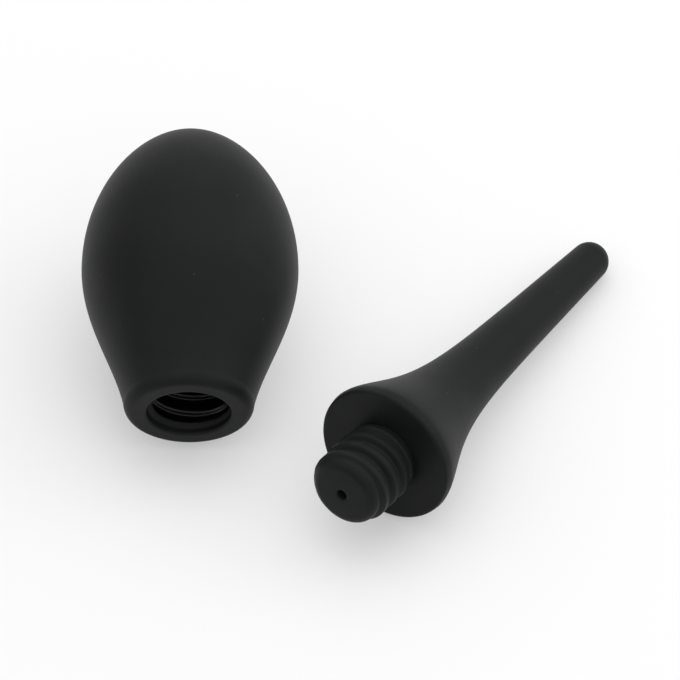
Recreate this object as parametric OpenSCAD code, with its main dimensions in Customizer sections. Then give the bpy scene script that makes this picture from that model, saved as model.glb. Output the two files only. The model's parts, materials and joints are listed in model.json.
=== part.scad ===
// Squeeze bulb with a screw-in nozzle, laid out taken apart on a table top.
// Millimetres, +Z up. The origin is the middle of the whole layout, on the table.
// Both pieces are turned shapes. Each outline is a list of [radius, station] points,
// and a station is the distance along the piece's own axis from its sealing face.

/* [Bulb] */
// Widest diameter of the bulb
bulb_d = 69.6; // [60:0.2:84]
// Length from the rim of the mouth to the closed end
bulb_length = 102.8; // [92:0.2:120]
// Distance from the rim to the widest place
bulb_belly = 53; // [46:0.5:60]
// How pointed the closed end is, where 1 is an ellipse
bulb_point = 1.15; // [1:0.05:1.4]
// Thickness of the silicone wall
bulb_wall = 3; // [2:0.1:5]
// Outside diameter of the neck where its taper would level out, in front of the rim
neck_d = 40; // [39:0.2:48]
// Distance in front of the rim at which the taper would level out
neck_lead = 6.5; // [2:0.5:12]
// Rounding of the rim's outer edge, measured across the end face
rim_across = 2.8; // [2:0.1:4.6]
// Rounding of the rim's outer edge, measured along the neck
rim_along = 3.2; // [1:0.1:5]
// Diameter of the open mouth at the rim
mouth_d = 27; // [25:0.2:28]
// Radius of the rounding round the mouth
mouth_round = 0.8; // [0.4:0.1:1]
// Depth of the funnel between the rim and the neck insert
funnel_depth = 4; // [3:0.1:6]
// Distance over which the neck thins to the wall
shoulder_length = 4; // [2:0.5:8]

/* [Neck insert] */
// Length of the threaded insert
insert_length = 20; // [17:0.5:24]
// Wall of the insert outside its thread
insert_wall = 1.6; // [1.2:0.1:2.5]
// Height of the rib that keys the insert into the silicone
rib_height = 1.2; // [0.6:0.1:1.8]
// Width of the rib
rib_width = 3; // [2:0.5:6]
// Gap all round between the insert and the silicone
insert_gap = 0.1; // [0.05:0.05:0.3]

/* [Thread] */
// Diameter of the plug between the ridges of its thread
plug_d = 22.2; // [20:0.2:23]
// Height of the thread's ridge
ridge_height = 1.9; // [1.6:0.1:2.2]
// Width of the ridge at its foot
ridge_width = 4.2; // [3:0.1:5]
// Distance between neighbouring ridges
thread_pitch = 5.9; // [5.4:0.1:6]
// Turns of ridge on the plug
thread_turns = 3.2; // [2.4:0.1:3.2]
// Distance from the plug's end to the end of the ridge
end_land = 2.5; // [2.2:0.1:2.7]
// Angle round the plug at which the ridge begins
thread_phase = 165; // [5:10:355]
// Gap between the plug's thread and the insert's thread
thread_gap = 0.25; // [0.2:0.05:0.5]

/* [Nozzle] */
// Length from the flange's sealing face to the tip
nozzle_length = 129.4; // [110:0.2:160]
// Diameter of the flange
flange_d = 47.4; // [42:0.2:56]
// Distance from the sealing face to the flange's widest place
flange_edge = 2.6; // [2:0.1:6]
// How much narrower the sealing face is all round than the flange
flange_lean = 0.4; // [0.3:0.1:2]
// Radius of the rounding round the sealing face
flange_round = 0.4; // [0.3:0.1:1.5]
// Diameter of the stem's taper carried down to the flange
stem_d = 23.4; // [18:0.2:28]
// Diameter of the rounded tip
tip_d = 12.8; // [9:0.2:16]
// Distance over which the stem flares into the flange
flare_length = 23; // [14:0.2:28]
// Length of the plug from the sealing face
plug_length = 24.6; // [23.8:0.2:26]
// Diameter of the collar at the plug's foot
collar_d = 24.8; // [23:0.2:25.4]
// Length of the collar from the sealing face
collar_length = 2.8; // [2:0.2:3]
// Diameter of the bead at the plug's end
bead_d = 23.6; // [22.6:0.2:24]
// Distance from the plug's end over which the bead is full
bead_length = 3.6; // [3.4:0.1:4.2]
// Rounding of the plug's end, measured across the end
plug_across = 2.8; // [1:0.2:5]
// Rounding of the plug's end, measured along the plug
plug_along = 3; // [1:0.1:3]
// How far the middle of the plug's end stands out
plug_crown = 0.4; // [0:0.1:0.4]
// Diameter of the water channel
channel_d = 3.6; // [2.6:0.1:5]

/* [Layout] */
// Downward tilt of the bulb's mouth as the bulb lies on its belly
bulb_tilt = 13.4; // [8:0.2:15]
// Turn of the nozzle on the table, clockwise from the bulb's own line
nozzle_yaw = 33.5; // [20:0.5:50]
// Distance sideways from the bulb's mouth to the nozzle's sealing face
nozzle_aside = 62.1; // [56:0.1:90]
// Distance forwards from the bulb's mouth to the nozzle's sealing face
nozzle_ahead = 18.6; // [0:0.1:40]

/* [Hidden] */
$fn = 96;

// Steps along each curved stretch of an outside, along one of the water space, and round an edge
curve_steps = 20;
inner_steps = 12;
round_steps = 6;
// Steps round one turn of the thread, and sides of its ridge
turn_steps = 36;
ridge_sides = 5;
// Depth to which the ridge's foot is sunk into the plug
ridge_sunk = 0.4;
// Share of a turn over which the ridge's ends fade, and the share of its height that is left there
fade_turns = 0.4;
fade_least = 0.05;
// Distance over which the plug's bead and its collar fall to the width between the ridges
bead_fall = 1.2;
// How round the flare is where it leaves the flange
flare_power = 1.4;
// Extra length that carries a cut clear past a face
past = 1;

belly_r = bulb_d / 2;
neck_r = neck_d / 2;
mouth_r = mouth_d / 2;
plug_r = plug_d / 2;
bead_r = bead_d / 2;
collar_r = collar_d / 2;
bore_r = bead_r + thread_gap;
groove_r = plug_r + ridge_height + thread_gap;
insert_r = groove_r + insert_wall;
insert_end = funnel_depth + insert_length;
throat_r = bore_r + thread_gap;
throat_end = insert_end + 2 * insert_gap + 1.5;

flange_r = flange_d / 2;
stem_r = stem_d / 2;
tip_r = tip_d / 2;
channel_r = channel_d / 2;
tip_start = nozzle_length - tip_r;
thread_start = plug_length - end_land - thread_turns * thread_pitch;

// Outside radius of the bulb between its rim and its belly: a half wave from neck to belly
function bulb_r(s) = neck_r
    + (belly_r - neck_r) * pow(sin(90 * (s + neck_lead) / (bulb_belly + neck_lead)), 2);

// Radius of the water space: the wall's own curve, drawn in to the throat at the neck
function cavity_r(s) = bulb_r(s) - bulb_wall
    - (bulb_r(throat_end) - bulb_wall - throat_r) * exp((throat_end - s) / shoulder_length);

// Closed end of the bulb, from the belly to the pole
function dome(r, length, steps) = [for (i = [0:steps])
    let (a = 90 * i / steps) [r * pow(cos(a), bulb_point), bulb_belly + length * sin(a)]];

// Quarter round about a centre, from angle a to angle b, as wide as across and as long as along
function quarter(cr, cs, across, along, a, b) = [for (i = [0:round_steps])
    let (t = a + (b - a) * i / round_steps) [cr + across * cos(t), cs + along * sin(t)]];

bulb_outside = concat(
    quarter(bulb_r(rim_along) - rim_across, rim_along, rim_across, rim_along, -90, 0),
    [for (i = [1:curve_steps - 1])
        let (s = rim_along + (bulb_belly - rim_along) * i / curve_steps) [bulb_r(s), s]],
    dome(belly_r, bulb_length - bulb_belly, curve_steps));

// Water space from the pole back to the throat behind the neck insert
dome_inside = dome(belly_r - bulb_wall, bulb_length - bulb_belly - bulb_wall, inner_steps);
cavity = concat(
    [for (i = [inner_steps:-1:0]) dome_inside[i]],
    [for (i = [1:inner_steps])
        let (s = bulb_belly + (throat_end - bulb_belly) * i / inner_steps) [cavity_r(s), s]]);

// Radius of the nozzle's stem: a straight taper plus the flare into the flange
function stem_taper(s) = stem_r + (tip_r - stem_r) * (s - flange_edge) / (tip_start - flange_edge);
function nozzle_r(s) = stem_taper(s)
    + (flange_r - stem_r) * exp(-pow((s - flange_edge) / flare_length, flare_power));

nozzle_outside = concat(
    quarter(flange_r - flange_lean - flange_round, flange_round, flange_round, flange_round, -90, 0),
    [for (i = [0:2 * curve_steps])
        let (s = flange_edge + (tip_start - flange_edge) * i / (2 * curve_steps)) [nozzle_r(s), s]],
    [for (i = [1:2 * round_steps])
        let (a = 90 * i / (2 * round_steps)) [nozzle_r(tip_start) * cos(a), tip_start + tip_r * sin(a)]]);

// Plug from the sealing face over its collar to its bead and rounded end
plug_outside = concat(
    [[collar_r, 0],
     [collar_r, collar_length],
     [plug_r, collar_length + bead_fall],
     [plug_r, plug_length - bead_length - bead_fall],
     [bead_r, plug_length - bead_length]],
    quarter(bead_r - plug_across, plug_length - plug_crown - plug_along, plug_across, plug_along, 0, 90));

// The nozzle lies on its flange and its tip, so its axis slopes down to the tip
nozzle_tilt = min([for (p = nozzle_outside) if (p[1] > nozzle_length / 2)
    atan2(flange_r - p[0], p[1] - flange_edge)]);

bulb_height = max([for (p = bulb_outside) p[0] * cos(bulb_tilt) - p[1] * sin(bulb_tilt)]);
nozzle_height = flange_r * cos(nozzle_tilt) + flange_edge * sin(nozzle_tilt);

// How far an outline reaches along a direction, where lean is the cosine of the angle
// between that direction and the piece's axis
function reach(outline, lean) = max([for (p = outline) p[1] * lean + p[0] * sqrt(1 - lean * lean)]);

nozzle_right = nozzle_aside + reach(nozzle_outside, sin(nozzle_yaw) * cos(nozzle_tilt));
nozzle_front = nozzle_ahead + reach(plug_outside, cos(nozzle_yaw) * cos(nozzle_tilt));
bulb_back = reach(bulb_outside, cos(bulb_tilt));
mouth_x = (belly_r - nozzle_right) / 2;
mouth_y = (nozzle_front - bulb_back) / 2;

// Lays a piece down with its axis turned clockwise by yaw and rising by tilt
module lay(x, y, z, yaw, tilt) {
    translate([x, y, z]) rotate([tilt - 90, 0, -yaw]) children();
}

module lay_bulb() {
    lay(mouth_x, mouth_y, bulb_height, 0, bulb_tilt) children();
}

module lay_nozzle() {
    lay(mouth_x + nozzle_aside, mouth_y - nozzle_ahead, nozzle_height, nozzle_yaw, -nozzle_tilt)
        children();
}

// One helical ridge round the Z axis from z = 0 upwards, right-handed. Its section is half an
// ellipse that stands on a foot sunk into the core, and its ends fade into the core
module helical_ridge(core_r, height, width, pitch, turns) {
    foot_r = core_r - ridge_sunk;
    steps = round(turns * turn_steps);
    count = ridge_sides + 1;
    function fade(i) = let (t = min(i, steps - i) / (turn_steps * fade_turns))
        t >= 1 ? 1 : fade_least + (1 - fade_least) * sin(90 * t);
    function section(i) = [for (k = [0:ridge_sides]) let (a = 180 * k / ridge_sides)
        [foot_r + (ridge_sunk + height) * sin(a) * fade(i), -width / 2 * cos(a)]];
    points = [for (i = [0:steps]) for (p = section(i))
        let (a = 360 * i / turn_steps) [p[0] * cos(a), p[0] * sin(a), pitch * i / turn_steps + p[1]]];
    walls = [for (i = [0:steps - 1]) for (j = [0:count - 1])
        let (a = i * count + j, b = i * count + (j + 1) % count)
        each [[a, b, b + count], [a, b + count, a + count]]];
    ends = [[for (j = [count - 1:-1:0]) j], [for (j = [0:count - 1]) steps * count + j]];
    polyhedron(points, concat(walls, ends), convexity = 8);
}

// Hard threaded ring moulded into the neck, with a keying rib round its middle
module neck_insert() {
    rib_s = funnel_depth + insert_length / 2;
    color("#0b0b0c") lay_bulb() rotate_extrude() polygon([
        [bore_r, funnel_depth + insert_gap],
        [insert_r, funnel_depth + insert_gap],
        [insert_r, rib_s - rib_width / 2],
        [insert_r + rib_height, rib_s - rib_width / 2],
        [insert_r + rib_height, rib_s + rib_width / 2],
        [insert_r, rib_s + rib_width / 2],
        [insert_r, insert_end],
        [bore_r, insert_end]]);
}

// Soft hollow bulb: egg-shaped shell, thick neck, funnel mouth and the pocket of the insert
module bulb() {
    pocket_r = insert_r + insert_gap;
    rib_s = funnel_depth + insert_length / 2;
    rib_half = rib_width / 2 + insert_gap;
    color("#2b2b2c") lay_bulb() rotate_extrude() polygon(concat(
        quarter(mouth_r + mouth_round, mouth_round, mouth_round, mouth_round, 180, 270),
        bulb_outside,
        cavity,
        [[throat_r, insert_end + insert_gap],
         [pocket_r, insert_end + insert_gap],
         [pocket_r, rib_s + rib_half],
         [pocket_r + rib_height, rib_s + rib_half],
         [pocket_r + rib_height, rib_s - rib_half],
         [pocket_r, rib_s - rib_half],
         [pocket_r, funnel_depth],
         [throat_r, funnel_depth]]));
}

// Nozzle in one moulding: plug with its thread, flange, flared stem and water channel
module nozzle() {
    color("#2b2b2c") lay_nozzle() difference() {
        union() {
            rotate_extrude() polygon(concat([[0, 0]], nozzle_outside));
            rotate([180, 0, 0]) rotate_extrude() polygon(concat(
                [[0, -past], [collar_r, -past]],
                plug_outside,
                [[0, plug_length]]));
            rotate([180, 0, thread_phase]) translate([0, 0, thread_start])
                helical_ridge(plug_r, ridge_height, ridge_width, thread_pitch, thread_turns);
        }
        translate([0, 0, -plug_length - past])
            cylinder(r = channel_r, h = plug_length + nozzle_length + 2 * past);
    }
}

neck_insert();
bulb();
nozzle();
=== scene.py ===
# Squeeze bulb and its screw-in nozzle, black silicone, laid out apart on a white table
import bpy
import json
import math
from mathutils import Matrix, Vector


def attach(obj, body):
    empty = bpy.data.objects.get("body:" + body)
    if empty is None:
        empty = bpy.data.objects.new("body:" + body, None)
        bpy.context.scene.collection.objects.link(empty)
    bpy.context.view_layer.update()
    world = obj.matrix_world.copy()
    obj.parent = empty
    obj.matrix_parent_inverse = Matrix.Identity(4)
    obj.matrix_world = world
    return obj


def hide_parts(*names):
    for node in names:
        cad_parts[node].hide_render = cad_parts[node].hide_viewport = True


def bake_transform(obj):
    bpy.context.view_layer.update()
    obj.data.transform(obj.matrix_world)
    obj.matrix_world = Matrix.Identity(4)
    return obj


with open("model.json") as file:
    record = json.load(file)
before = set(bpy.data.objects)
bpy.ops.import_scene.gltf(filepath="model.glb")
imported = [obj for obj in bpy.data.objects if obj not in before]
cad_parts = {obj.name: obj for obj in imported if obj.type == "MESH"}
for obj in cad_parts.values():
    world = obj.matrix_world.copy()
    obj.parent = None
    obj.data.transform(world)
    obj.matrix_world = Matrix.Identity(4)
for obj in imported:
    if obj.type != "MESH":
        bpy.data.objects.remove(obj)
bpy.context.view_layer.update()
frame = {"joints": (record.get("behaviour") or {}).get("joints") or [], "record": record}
mm = 0.001
up = Vector((0, 0, 1))
mounts = {mount["name"]: mount for mount in frame["record"]["mounts"]}
joints = {joint["name"]: joint for joint in frame["joints"]}

# The bulb's axis runs from the middle of its rim to its closed end, and the nozzle's from the
# middle of its sealing face to its tip. Stations are distances along these axes, in mm.
boreCentre = Vector(mounts["neck_thread"]["pos_m"])
bulbAlong = -Vector(mounts["neck_thread"]["axis"]).normalized()
toRim = (Vector(mounts["mouth_rim"]["pos_m"]) - boreCentre).dot(bulbAlong)
mouthCentre = boreCentre + bulbAlong * toRim
seatCentre = Vector(joints["nozzle_turn"]["pos_m"])
nozzleAlong = -Vector(joints["nozzle_turn"]["axis"]).normalized()


# Helpers

def smooth(share):
    share = min(max(share, 0), 1)
    return share * share * (3 - 2 * share)


def arc(centreR, centreS, across, lengthwise, start, end, steps):
    # part of an ellipse as (radius, station) points
    angles = [math.radians(start + (end - start) * i / steps) for i in range(steps + 1)]
    return [(centreR + across * math.cos(a), centreS + lengthwise * math.sin(a)) for a in angles]


def straight(first, last, steps):
    # points between two ends, without the ends themselves
    return [(first[0] + (last[0] - first[0]) * i / steps, first[1] + (last[1] - first[1]) * i / steps)
            for i in range(1, steps)]


weldReach = 0.004  # mm, within which points of a spun outline become one


def turnOutline(name, outline, steps):
    # a single vertex is drawn along the outline and spun round the Z axis
    bpy.ops.object.select_all(action="DESELECT")
    bpy.ops.mesh.primitive_plane_add(size=mm, location=(0, 0, 0))
    piece = bpy.context.object
    piece.name = piece.data.name = name
    bpy.ops.object.mode_set(mode="EDIT")
    bpy.ops.mesh.merge(type="CENTER")
    last = (0, 0)
    for i, point in enumerate(outline):
        step = ((point[0] - last[0]) * mm, 0, (point[1] - last[1]) * mm)
        if i == 0:
            bpy.ops.transform.translate(value=step)
        else:
            bpy.ops.mesh.extrude_region_move(TRANSFORM_OT_translate={"value": step})
        last = point
    bpy.ops.mesh.select_all(action="SELECT")
    bpy.ops.mesh.spin(steps=steps, angle=2 * math.pi, center=(0, 0, 0), axis=(0, 0, 1))
    bpy.ops.mesh.select_all(action="SELECT")
    bpy.ops.mesh.remove_doubles(threshold=weldReach * mm)
    bpy.ops.mesh.normals_make_consistent(inside=False)
    bpy.ops.object.mode_set(mode="OBJECT")
    bpy.ops.object.shade_smooth()
    return piece


def raiseThread(piece, thread):
    # lifts the skin between two stations into one helical ridge whose ends fade away
    for vertex in piece.data.vertices:
        x, y, station = vertex.co / mm
        radius = math.hypot(x, y)
        onSkin = thread["inner"] <= radius <= thread["outer"]
        if not onSkin or not thread["from"] <= station <= thread["to"]:
            continue
        turn = (math.degrees(math.atan2(y, x)) - thread["startAngle"]) / 360
        turn += round((station - thread["start"]) / thread["pitch"] - turn)
        offset = abs(station - thread["start"] - turn * thread["pitch"])
        height = abs(thread["height"]) * smooth((thread["foot"] / 2 - offset) / thread["flank"])
        height *= smooth(turn / thread["fadeIn"]) * smooth((thread["turns"] - turn) / thread["fadeOut"])
        # the higher of the ridge and the skin, with a soft corner between them
        inwards = thread["height"] < 0
        over = height - (thread["core"] - radius if inwards else radius - thread["core"])
        corner = thread["soft"] * smooth(height / thread["softFrom"])
        rise = (over + math.sqrt(over * over + corner * corner)) / 2
        factor = 1 + (-rise if inwards else rise) / radius
        vertex.co.x *= factor
        vertex.co.y *= factor


def layOnAxis(piece, centre, along):
    # stands the piece's Z axis on the given line and leaves its object at the origin
    side = along.cross(up).normalized()
    turn = Matrix((side, along.cross(side), along)).transposed().to_4x4()
    piece.matrix_world = Matrix.Translation(centre) @ turn
    bpy.ops.object.select_all(action="DESELECT")
    piece.select_set(True)
    bpy.context.view_layer.objects.active = piece
    bpy.ops.object.transform_apply(location=True, rotation=True, scale=True)


def linear(hexColour):
    # sRGB hex to the linear colour that a shader takes
    parts = [int(hexColour[i:i + 2], 16) / 255 for i in (1, 3, 5)]
    return tuple(p / 12.92 if p <= 0.04045 else ((p + 0.055) / 1.055) ** 2.4 for p in parts) + (1,)


def addNode(tree, kind, inputs=None, **settings):
    # a node with its settings, and each input as a value or a link
    node = tree.nodes.new(kind)
    for setting, value in settings.items():
        setattr(node, setting, value)
    for socket, value in (inputs or {}).items():
        if isinstance(value, bpy.types.NodeSocket):
            tree.links.new(value, node.inputs[socket])
        else:
            node.inputs[socket].default_value = value
    return node


def perSize(size):
    # noise scale on Object coordinates for marks of that size in mm
    return 1 / (size * mm)


def freshMaterial(name):
    material = bpy.data.materials.new(name)
    material.use_nodes = True
    material.node_tree.nodes.clear()
    return material, material.node_tree


# Materials

def mattSilicone(name, look):
    # Silicone rubber from a blasted mould: an even velvety grain that blurs what it mirrors,
    # faint clouding in the black, and the few specks of dust that it always attracts
    material, tree = freshMaterial(name)
    place = addNode(tree, "ShaderNodeTexCoord").outputs["Object"]
    clouds = addNode(tree, "ShaderNodeTexNoise", {
        "Vector": place, "Scale": perSize(look["cloudSize"]), "Detail": 3.0}).outputs["Fac"]
    grain = addNode(tree, "ShaderNodeTexNoise", {
        "Vector": place, "Scale": perSize(look["grainSize"]), "Detail": 2.0}).outputs["Fac"]
    dents = addNode(tree, "ShaderNodeTexNoise", {
        "Vector": place, "Scale": perSize(look["dentSize"]), "Detail": 1.0}).outputs["Fac"]
    cells = addNode(tree, "ShaderNodeTexVoronoi", {
        "Vector": place, "Scale": perSize(look["dustSpacing"])}).outputs["Distance"]
    dust = addNode(tree, "ShaderNodeMapRange", {
        "Value": cells, "From Min": look["dustSize"] / look["dustSpacing"], "From Max": 0.0,
        "To Max": look["dustStrength"]}).outputs["Result"]
    # the Mix node's colour sockets are 6 and 7, and its colour output is 2
    black = addNode(tree, "ShaderNodeMix", {
        0: clouds, 6: linear(look["deep"]), 7: linear(look["pale"])}, data_type="RGBA").outputs[2]
    colour = addNode(tree, "ShaderNodeMix", {
        0: dust, 6: black, 7: linear(look["dust"])}, data_type="RGBA").outputs[2]
    roughness = addNode(tree, "ShaderNodeMapRange", {
        "Value": grain, "To Min": look["smoothest"], "To Max": look["roughest"]}).outputs["Result"]
    softDents = addNode(tree, "ShaderNodeBump", {
        "Height": dents, "Strength": 1.0, "Distance": look["dentDepth"] * mm}).outputs["Normal"]
    velvet = addNode(tree, "ShaderNodeBump", {
        "Height": grain, "Normal": softDents, "Strength": 1.0,
        "Distance": look["grainDepth"] * mm}).outputs["Normal"]
    shader = addNode(tree, "ShaderNodeBsdfPrincipled", {
        "Base Color": colour, "Roughness": roughness, "Normal": velvet, "IOR": 1.41,
        "Specular IOR Level": look["specular"]})
    addNode(tree, "ShaderNodeOutputMaterial", {"Surface": shader.outputs[0]})
    return material


def glossAbs(name, look):
    # ABS from a polished mould: hard, glassy black with a little waviness from shrinkage
    material, tree = freshMaterial(name)
    place = addNode(tree, "ShaderNodeTexCoord").outputs["Object"]
    sink = addNode(tree, "ShaderNodeTexNoise", {
        "Vector": place, "Scale": perSize(look["sinkSize"]), "Detail": 2.0}).outputs["Fac"]
    smear = addNode(tree, "ShaderNodeTexNoise", {
        "Vector": place, "Scale": perSize(look["smearSize"]), "Detail": 3.0}).outputs["Fac"]
    colour = addNode(tree, "ShaderNodeMix", {
        0: smear, 6: linear(look["deep"]), 7: linear(look["pale"])}, data_type="RGBA").outputs[2]
    roughness = addNode(tree, "ShaderNodeMapRange", {
        "Value": smear, "To Min": look["smoothest"], "To Max": look["roughest"]}).outputs["Result"]
    wave = addNode(tree, "ShaderNodeBump", {
        "Height": sink, "Strength": 1.0, "Distance": look["sinkDepth"] * mm}).outputs["Normal"]
    shader = addNode(tree, "ShaderNodeBsdfPrincipled", {
        "Base Color": colour, "Roughness": roughness, "Normal": wave, "IOR": 1.54,
        "Specular IOR Level": look["specular"]})
    addNode(tree, "ShaderNodeOutputMaterial", {"Surface": shader.outputs[0]})
    return material


siliconeLook = {
    # sizes, spacings and depths in mm
    "deep": "#131514", "pale": "#1a1c1b", "dust": "#8a8a86", "cloudSize": 14, "grainSize": 0.5,
    "grainDepth": 0.02, "dentSize": 26, "dentDepth": 0.6, "dustSpacing": 9, "dustSize": 0.22,
    "dustStrength": 0.6, "smoothest": 0.44, "roughest": 0.56, "specular": 0.17,
}
bulbSilicone = mattSilicone("mattBlackSilicone", siliconeLook)
nozzleSilicone = mattSilicone("mattBlackSiliconeNozzle", {**siliconeLook, "cloudSize": 10})
ringPlastic = glossAbs("glossBlackAbs", {
    "deep": "#050506", "pale": "#0b0b0c", "sinkSize": 6, "sinkDepth": 0.05, "smearSize": 4,
    "smoothest": 0.15, "roughest": 0.3, "specular": 0.25})
print("materials made")

# Threaded neck ring: bore at the thread's grooves, outer wall and a keying rib in the silicone.
# Lengths in this and the next pieces are in mm, angles in degrees.
ring = {
    "from": 4.1, "to": 24, "grooveRadius": 13.45, "outerRadius": 14.85,
    "ribFrom": 12.5, "ribTo": 15.5, "ribRadius": 16.05,
    "edge": 0.25, "ringSpacing": 0.25, "steps": 160,
}
ringThread = {
    "core": 13.45, "height": -1.4, "pitch": 5.9, "start": 5.6, "startAngle": 274, "turns": 2.95,
    "foot": 3.6, "flank": 1.05, "fadeIn": 0.12, "fadeOut": 0.2, "soft": 0.1,
    "softFrom": 0.6, "from": 4.4, "to": 23.7, "inner": 13.4, "outer": 13.5,
}


def neckRing():
    front, back, edge = ring["from"], ring["to"], ring["edge"]
    bore = ring["grooveRadius"]
    outline = [(bore + edge, back), (bore, back - edge)]
    outline += straight((bore, back - edge), (bore, front + edge),
                        round((back - front - 2 * edge) / ring["ringSpacing"]))
    outline += [(bore, front + edge), (bore + edge, front)]
    outline += [(ring["outerRadius"], front), (ring["outerRadius"], ring["ribFrom"]),
                (ring["ribRadius"], ring["ribFrom"]), (ring["ribRadius"], ring["ribTo"]),
                (ring["outerRadius"], ring["ribTo"]), (ring["outerRadius"], back)]
    outline += [(bore + edge, back)]
    piece = turnOutline("threaded_neck_ring", outline, ring["steps"])
    raiseThread(piece, ringThread)
    piece.data.materials.append(ringPlastic)
    layOnAxis(piece, mouthCentre, bulbAlong)
    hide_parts("neck_insert")
    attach(piece, "neck")
    return piece


neckRing()
print("neck ring made")

# Bulb: egg-shaped shell with a rolled lip, a funnel mouth and the pocket that holds the ring
bulb = {
    "radius": 34.85, "length": 102.8, "belly": 53, "point": 1.12, "wall": 3, "neckRadius": 19.7,
    "neckLead": 7, "rimAcross": 3, "rimAlong": 4.2, "mouthRadius": 13.5, "mouthRound": 0.8,
    "funnelDepth": 4, "throatRadius": 12.3, "throatRound": 0.4, "throatEnd": 25.7, "shoulder": 4,
    "ledgeRadius": 13.4, "ledgeStart": 2.1,
    "pocketRadius": 14.95, "pocketEnd": 24.1, "ribFrom": 12.4, "ribTo": 15.6, "ribRadius": 16.15,
    "lipAside": 0.8, "steps": 160,
}
bulbSteps = {"lip": 5, "ledge": 6, "funnel": 5, "mouth": 6, "rim": 5, "edge": 12, "side": 56, "inside": 32}


def bulbOutside(station):
    wave = math.sin(math.pi / 2 * (station + bulb["neckLead"]) / (bulb["belly"] + bulb["neckLead"]))
    return bulb["neckRadius"] + (bulb["radius"] - bulb["neckRadius"]) * wave ** 2


def bulbInside(station):
    end = bulb["throatEnd"]
    spare = bulbOutside(end) - bulb["wall"] - bulb["throatRadius"]
    return bulbOutside(station) - bulb["wall"] - spare * math.exp((end - station) / bulb["shoulder"])


def dome(radius, length, steps):
    angles = [math.pi / 2 * i / steps for i in range(steps)]
    curve = [(radius * math.cos(a) ** bulb["point"], bulb["belly"] + length * math.sin(a))
             for a in angles]
    return curve + [(0, bulb["belly"] + length)]


def skewLip(piece):
    # the soft lip was trimmed a little off centre, so the funnel is wider on one side
    slack = 0.05
    for vertex in piece.data.vertices:
        x, y, station = vertex.co / mm
        depth = (station - bulb["mouthRound"]) / (bulb["funnelDepth"] - bulb["mouthRound"])
        inFunnel = math.hypot(x, y) < bulb["mouthRadius"] + slack
        if inFunnel and 0 < depth and station < bulb["funnelDepth"] + slack:
            vertex.co.x += bulb["lipAside"] * depth * mm


def squeezeBulb():
    mouth, lip, throat = bulb["mouthRadius"], bulb["mouthRound"], bulb["throatRadius"]
    rimEdge = bulbOutside(bulb["rimAlong"]) - bulb["rimAcross"]
    outline = [(bulb["pocketRadius"], bulb["funnelDepth"])]
    outline += arc(throat + bulb["throatRound"], bulb["funnelDepth"] - bulb["throatRound"],
                   bulb["throatRound"], bulb["throatRound"], 90, 200, bulbSteps["lip"])
    ledge = (bulb["ledgeRadius"], bulb["ledgeStart"])
    outline += straight(outline[-1], ledge, bulbSteps["ledge"]) + [ledge]
    outline += straight(ledge, (mouth, lip), bulbSteps["funnel"])
    outline += arc(mouth + lip, lip, lip, lip, 180, 270, bulbSteps["mouth"])
    outline += straight(outline[-1], (rimEdge, 0), bulbSteps["rim"])
    outline += arc(rimEdge, bulb["rimAlong"], bulb["rimAcross"], bulb["rimAlong"], -90, 0,
                   bulbSteps["edge"])
    side, inside = bulbSteps["side"], bulbSteps["inside"]
    start, stretch = bulb["rimAlong"], bulb["belly"] - bulb["rimAlong"]
    outline += [(bulbOutside(start + stretch * i / side), start + stretch * i / side)
                for i in range(1, side)]
    domeLength = bulb["length"] - bulb["belly"]
    outline += dome(bulb["radius"], domeLength, side)
    outline += reversed(dome(bulb["radius"] - bulb["wall"], domeLength - bulb["wall"], inside))
    start, stretch = bulb["belly"], bulb["throatEnd"] - bulb["belly"]
    outline += [(bulbInside(start + stretch * i / inside), start + stretch * i / inside)
                for i in range(1, inside + 1)]
    outline += [(throat, bulb["pocketEnd"]), (bulb["pocketRadius"], bulb["pocketEnd"]),
                (bulb["pocketRadius"], bulb["ribTo"]), (bulb["ribRadius"], bulb["ribTo"]),
                (bulb["ribRadius"], bulb["ribFrom"]), (bulb["pocketRadius"], bulb["ribFrom"]),
                (bulb["pocketRadius"], bulb["funnelDepth"])]
    piece = turnOutline("squeeze_bulb", outline, bulb["steps"])
    skewLip(piece)
    piece.data.materials.append(bulbSilicone)
    layOnAxis(piece, mouthCentre, bulbAlong)
    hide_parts("bulb")
    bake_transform(piece)
    return piece


squeezeBulb()
print("bulb made")

# Nozzle: threaded plug, flange, flared stem and round tip in one moulding
nozzle = {
    "length": 129.4, "flangeRadius": 23.7, "flangeEdge": 2.6, "flangeLean": 0.2, "flangeRound": 1.1,
    "stemRadius": 11.7, "tipRadius": 6.4, "flareLength": 23, "flarePower": 1.4,
    "plugLength": 24.6, "plugRadius": 11.1, "beadRadius": 11.8, "beadLength": 3.7, "beadFall": 1.6,
    "endAcross": 3.4, "endAlong": 3.4, "crown": 0.3, "collarRadius": 12.4, "collarLength": 2.8,
    "collarFall": 1, "relief": 0.5, "foot": 0.5, "channelRadius": 1.8, "holeEdge": 0.3,
    "holeBend": 0.3, "tipBend": 0.2, "tipJoin": 5, "ringSpacing": 0.3, "steps": 176,
}
nozzleSteps = {"face": 8, "end": 10, "foot": 4, "seat": 12, "edge": 6, "stem": 90, "tip": 16, "channel": 12}
plugThread = {
    "core": 11.1, "height": 1.9, "pitch": 5.9, "start": -22.08, "startAngle": 93, "turns": 3.2,
    "foot": 4.8, "flank": 1.5, "fadeIn": 0.4, "fadeOut": 0.4, "soft": 0.35, "softFrom": 0.6,
    "from": -23, "to": -0.6, "inner": 10.5, "outer": 12.5,
}


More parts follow.
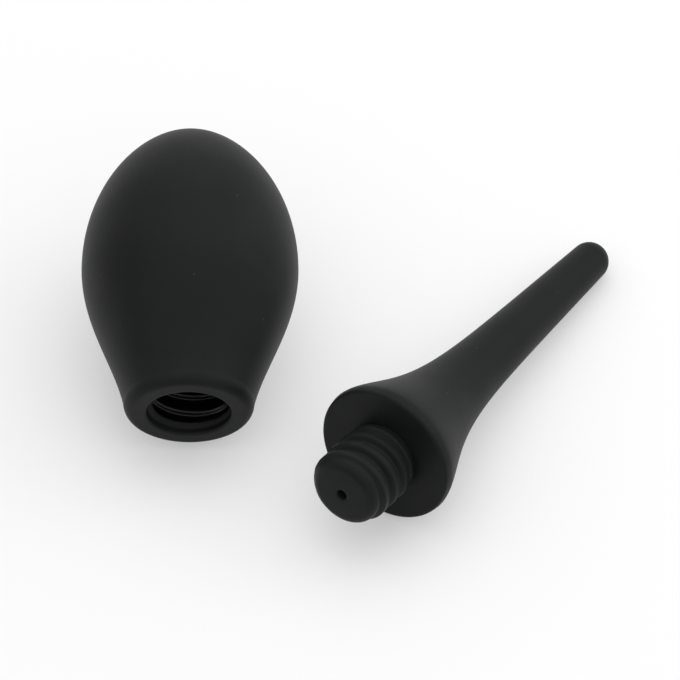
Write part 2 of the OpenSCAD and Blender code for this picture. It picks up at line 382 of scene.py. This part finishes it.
def plugRadius(station):
    # end bead, core and the collar that falls into a shallow groove before the sealing face
    bead, core, fall = nozzle["beadRadius"], nozzle["plugRadius"], nozzle["beadFall"]
    beadEnd = nozzle["beadLength"] - nozzle["plugLength"]
    collar = smooth(1 + (station + nozzle["collarLength"]) / fall)
    collar *= smooth((-nozzle["relief"] - station) / nozzle["collarFall"])
    bead -= (bead - core) * smooth((station - beadEnd) / fall)
    return bead + (nozzle["collarRadius"] - core) * collar


def stemRadius(station):
    past = station - nozzle["flangeEdge"]
    taper = (nozzle["tipRadius"] - nozzle["stemRadius"]) / (
        nozzle["length"] - nozzle["tipRadius"] - nozzle["flangeEdge"])
    flare = math.exp(-(past / nozzle["flareLength"]) ** nozzle["flarePower"])
    return nozzle["stemRadius"] + taper * past + (nozzle["flangeRadius"] - nozzle["stemRadius"]) * flare


def screwNozzle():
    hole, edge = nozzle["channelRadius"], nozzle["holeEdge"]
    bend, end = nozzle["holeBend"] * edge, -nozzle["plugLength"]
    outline = [(hole, end + edge), (hole + bend, end + bend), (hole + edge, end)]
    shoulder, face = nozzle["beadRadius"] - nozzle["endAcross"], nozzleSteps["face"]
    outline += [(hole + edge + (shoulder - hole - edge) * i / face, end + nozzle["crown"] * (i / face) ** 2)
                for i in range(1, face)]
    outline += arc(shoulder, end + nozzle["crown"] + nozzle["endAlong"], nozzle["endAcross"],
                   nozzle["endAlong"], -90, 0, nozzleSteps["end"])
    foot = nozzle["foot"]
    start, stop = end + nozzle["beadLength"], -foot
    count = round((stop - start) / nozzle["ringSpacing"])
    stations = [start + (stop - start) * i / count for i in range(count)]
    outline += [(plugRadius(station), station) for station in stations]
    outline += arc(nozzle["plugRadius"] + foot, stop, foot, foot, 180, 90, nozzleSteps["foot"])
    edgeRound = nozzle["flangeRound"]
    seatEdge = nozzle["flangeRadius"] - nozzle["flangeLean"] - edgeRound
    outline += straight(outline[-1], (seatEdge, 0), nozzleSteps["seat"])
    outline += arc(seatEdge, edgeRound, edgeRound, edgeRound, -90, 0, nozzleSteps["edge"])
    tipStart, tip = nozzle["length"] - nozzle["tipRadius"], nozzle["tipRadius"]
    start, stretch = nozzle["flangeEdge"], tipStart - nozzle["flangeEdge"]
    stations = [start + stretch * i / nozzleSteps["stem"] for i in range(nozzleSteps["stem"] + 1)]
    outline += [(stemRadius(station), station) for station in stations]
    lastRound = math.degrees(math.acos((hole + edge) / tip))
    outline += arc(0, tipStart, tip, tip, nozzle["tipJoin"], lastRound, nozzleSteps["tip"])
    tipHole = outline[-1][1]
    outline += [(hole + bend, tipHole - nozzle["tipBend"] * edge), (hole, tipHole - edge)]
    outline += straight(outline[-1], outline[0], nozzleSteps["channel"]) + [outline[0]]
    piece = turnOutline("screw_nozzle", outline, nozzle["steps"])
    raiseThread(piece, plugThread)
    piece.data.materials.append(nozzleSilicone)
    layOnAxis(piece, seatCentre, nozzleAlong)
    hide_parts("nozzle")
    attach(piece, "nozzle")
    return piece


screwNozzle()
print("nozzle made")

# Studio: white table top, soft light from above and behind, long lens
studio = {
    # floor in m and mm, colours, then strengths of the walls and the ceiling
    "floorSize": 6, "floorDrop": 0.05, "floor": "#cacaca", "floorLift": 0.34, "worldColour": "#ffffff",
    "wall": 0.65, "rightLift": 0.35, "backLift": 0.35, "ceiling": 1.0, "frontLift": 0.2,
    "ceilingFrom": 0.1, "ceilingTo": 0.7, "lampAim": 30,
}
lamps = [
    # name, place in m, size in m, power in W
    ("overheadBack", (0.1, 0.5, 1.4), 1.4, 4),
    ("rightBox", (1.1, 0.3, 0.8), 0.8, 2),
]
shot = {
    # degrees and mm, with the aim given from the mouth and the clip's end in m
    "elevation": 46.77, "distance": 3000, "width": 220.4, "aside": 48.16, "ahead": 53.86,
    "sensor": 36, "clipEnd": 20,
}


def whiteTable():
    bpy.ops.object.select_all(action="DESELECT")
    bpy.ops.mesh.primitive_plane_add(size=studio["floorSize"], location=(0, 0, -studio["floorDrop"] * mm))
    floor = bpy.context.object
    floor.name = "whiteTable"
    material, tree = freshMaterial("whitePaper")
    rays = addNode(tree, "ShaderNodeLightPath").outputs
    mirrored = addNode(tree, "ShaderNodeMath", {
        0: rays["Is Glossy Ray"], 1: rays["Is Transmission Ray"]}, operation="MAXIMUM").outputs[0]
    seen = addNode(tree, "ShaderNodeMath", {
        0: rays["Is Camera Ray"], 1: mirrored}, operation="MAXIMUM").outputs[0]
    lift = addNode(tree, "ShaderNodeMath", {0: seen, 1: studio["floorLift"]}, operation="MULTIPLY")
    paper = addNode(tree, "ShaderNodeBsdfDiffuse", {"Color": linear(studio["floor"])})
    glow = addNode(tree, "ShaderNodeEmission", {"Strength": lift.outputs[0]})
    both = addNode(tree, "ShaderNodeAddShader", {0: paper.outputs[0], 1: glow.outputs[0]})
    addNode(tree, "ShaderNodeOutputMaterial", {"Surface": both.outputs[0]})
    floor.data.materials.append(material)


def studioLight():
    world = bpy.data.worlds.new("paleStudio")
    bpy.context.scene.world = world
    world.use_nodes = True
    tree = world.node_tree
    tree.nodes.clear()
    # walls that are bright at the back and right, under a ceiling a little brighter in front
    towards = addNode(tree, "ShaderNodeSeparateXYZ", {
        0: addNode(tree, "ShaderNodeTexCoord").outputs["Generated"]}).outputs
    right = addNode(tree, "ShaderNodeMath", {
        0: towards["X"], 1: studio["rightLift"], 2: studio["wall"]},
        operation="MULTIPLY_ADD").outputs[0]
    walls = addNode(tree, "ShaderNodeMath", {
        0: towards["Y"], 1: studio["backLift"], 2: right},
        operation="MULTIPLY_ADD", use_clamp=True).outputs[0]
    ceiling = addNode(tree, "ShaderNodeMath", {
        0: towards["Y"], 1: -studio["frontLift"], 2: studio["ceiling"]},
        operation="MULTIPLY_ADD").outputs[0]
    room = addNode(tree, "ShaderNodeMapRange", {
        "Value": towards["Z"], "From Min": studio["ceilingFrom"], "From Max": studio["ceilingTo"],
        "To Min": walls, "To Max": ceiling},
        interpolation_type="SMOOTHSTEP").outputs["Result"]
    sky = addNode(tree, "ShaderNodeBackground", {
        "Color": linear(studio["worldColour"]), "Strength": room})
    addNode(tree, "ShaderNodeOutputWorld", {"Surface": sky.outputs[0]})
    aim = Vector((0, 0, studio["lampAim"] * mm))
    for name, place, size, power in lamps:
        facing = (aim - Vector(place)).to_track_quat("-Z", "Y").to_euler()
        bpy.ops.object.light_add(type="AREA", location=place, rotation=facing)
        lamp = bpy.context.object
        lamp.name = name
        lamp.data.shape = "SQUARE"
        lamp.data.size = size
        lamp.data.energy = power


def photoCamera():
    target = Vector((mouthCentre.x + shot["aside"] * mm, mouthCentre.y + shot["ahead"] * mm, 0))
    lean = math.radians(shot["elevation"])
    place = target + Vector((0, -math.cos(lean), math.sin(lean))) * shot["distance"] * mm
    bpy.ops.object.camera_add(location=place, rotation=(math.pi / 2 - lean, 0, 0))
    camera = bpy.context.object
    camera.data.sensor_width = shot["sensor"]
    camera.data.lens = shot["sensor"] * shot["distance"] / shot["width"]
    camera.data.clip_end = shot["clipEnd"]
    bpy.context.scene.camera = camera


whiteTable()
studioLight()
photoCamera()
bpy.context.scene.view_settings.view_transform = "Standard"
print("studio made")
